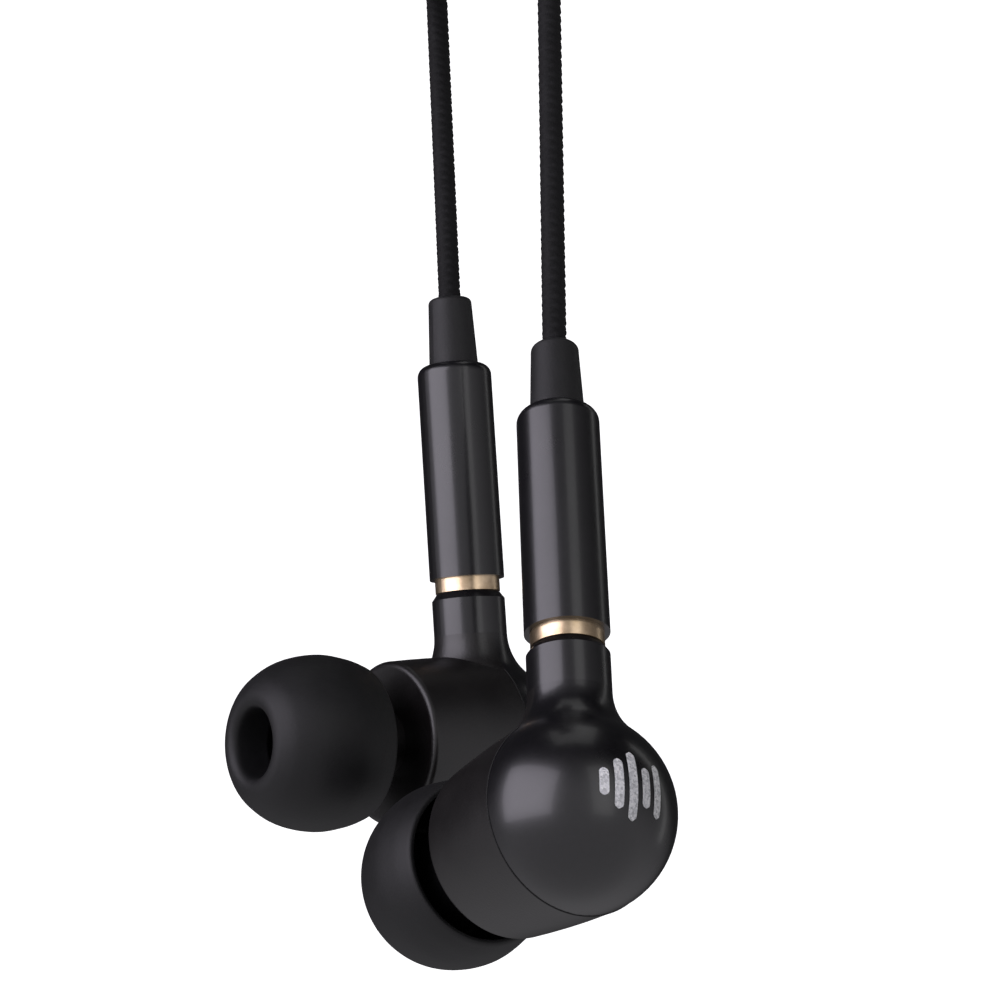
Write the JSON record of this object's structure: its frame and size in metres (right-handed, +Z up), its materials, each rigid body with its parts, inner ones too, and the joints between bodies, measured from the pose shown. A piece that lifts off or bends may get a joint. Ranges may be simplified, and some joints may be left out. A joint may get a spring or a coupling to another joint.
{
  "type": "wired earphones",
  "caption": "Wired in-ear earphones with round glossy shells, stem barrels with brass rings, soft ear tips and a braided cord hung up in a tied coil.",
  "frame": {"origin": "top of the eye of the tied cord coil, where a peg carries it", "axes": "+Z up against gravity, +X to the right of the viewer, +Y away from the viewer"},
  "size_m": [0.0296, 0.039, 0.1232],
  "materials": {
    "gloss_shell": "polished",
    "satin_shell": "satin",
    "silicone": "matte",
    "rubber": "matte",
    "brass": "polished",
    "cord": "braided",
    "strap": "hook and loop",
    "gold": "gold plated",
    "insulator": "moulded",
    "driver_plastic": "moulded",
    "plated_steel": "nickel plated",
    "magnet": "nickel plated",
    "copper": "enamelled",
    "film": "thin film",
    "circuit_board": "lacquered",
    "steel_mesh": "fine mesh",
    "felt": "felt"
  },
  "bodies": {
    "hung_cord": {"right_cord": "cord", "left_cord": "cord", "cord_coil": "cord", "right_cord_tail": "cord", "left_cord_tail": "cord", "main_cord_start": "cord", "main_cord_end": "cord", "splitter_body": "gloss_shell", "splitter_ear_boot": "rubber", "splitter_main_boot": "rubber", "plug_strain_relief": "rubber", "plug_barrel": "gloss_shell", "plug_sleeve": "gold", "plug_ring": "gold", "plug_insulators": "insulator", "plug_tip": "gold", "plug_tie": "strap", "splitter_tie": "strap"},
    "right_earpiece": {"right_rear_shell": "gloss_shell", "right_front_shell": "satin_shell", "right_driver_frame": "driver_plastic", "right_driver_yoke": "plated_steel", "right_driver_magnet": "magnet", "right_driver_top_plate": "plated_steel", "right_voice_coil": "copper", "right_diaphragm": "film", "right_driver_cover": "plated_steel", "right_terminal_board": "circuit_board", "right_nozzle_mesh": "steel_mesh", "right_damping_felt": "felt", "right_brass_ring": "brass", "right_stem_barrel": "gloss_shell", "right_strain_relief": "rubber", "right_cord_knot": "cord", "right_inner_leads": "copper"},
    "right_tip": {"right_ear_tip": "silicone"},
    "left_earpiece": {"left_rear_shell": "gloss_shell", "left_front_shell": "satin_shell", "left_driver_frame": "driver_plastic", "left_driver_yoke": "plated_steel", "left_driver_magnet": "magnet", "left_driver_top_plate": "plated_steel", "left_voice_coil": "copper", "left_diaphragm": "film", "left_driver_cover": "plated_steel", "left_terminal_board": "circuit_board", "left_nozzle_mesh": "steel_mesh", "left_damping_felt": "felt", "left_brass_ring": "brass", "left_stem_barrel": "gloss_shell", "left_strain_relief": "rubber", "left_cord_knot": "cord", "left_inner_leads": "copper"},
    "left_tip": {"left_ear_tip": "silicone"}
  },
  "joints": [
    {"name": "right_swing", "type": "hinge", "parent": "hung_cord", "child": "right_earpiece", "pos_m": [0.00849, -0.00576, -0.0523], "axis": [0, 1, 0], "range_deg": [-32, 0]},
    {"name": "right_tip_pull", "type": "slide", "parent": "right_earpiece", "child": "right_tip", "axis": [-0.5273, 0.838, -0.1404], "range_m": [0, 0.006]},
    {"name": "left_swing", "type": "hinge", "parent": "hung_cord", "child": "left_earpiece", "pos_m": [0.00115, 0.00994, -0.0426], "axis": [0, 1, 0], "range_deg": [0, 32]},
    {"name": "left_tip_pull", "type": "slide", "parent": "left_earpiece", "child": "left_tip", "axis": [-0.7907, -0.6007, -0.1186], "range_m": [0, 0.006]}
  ]
}
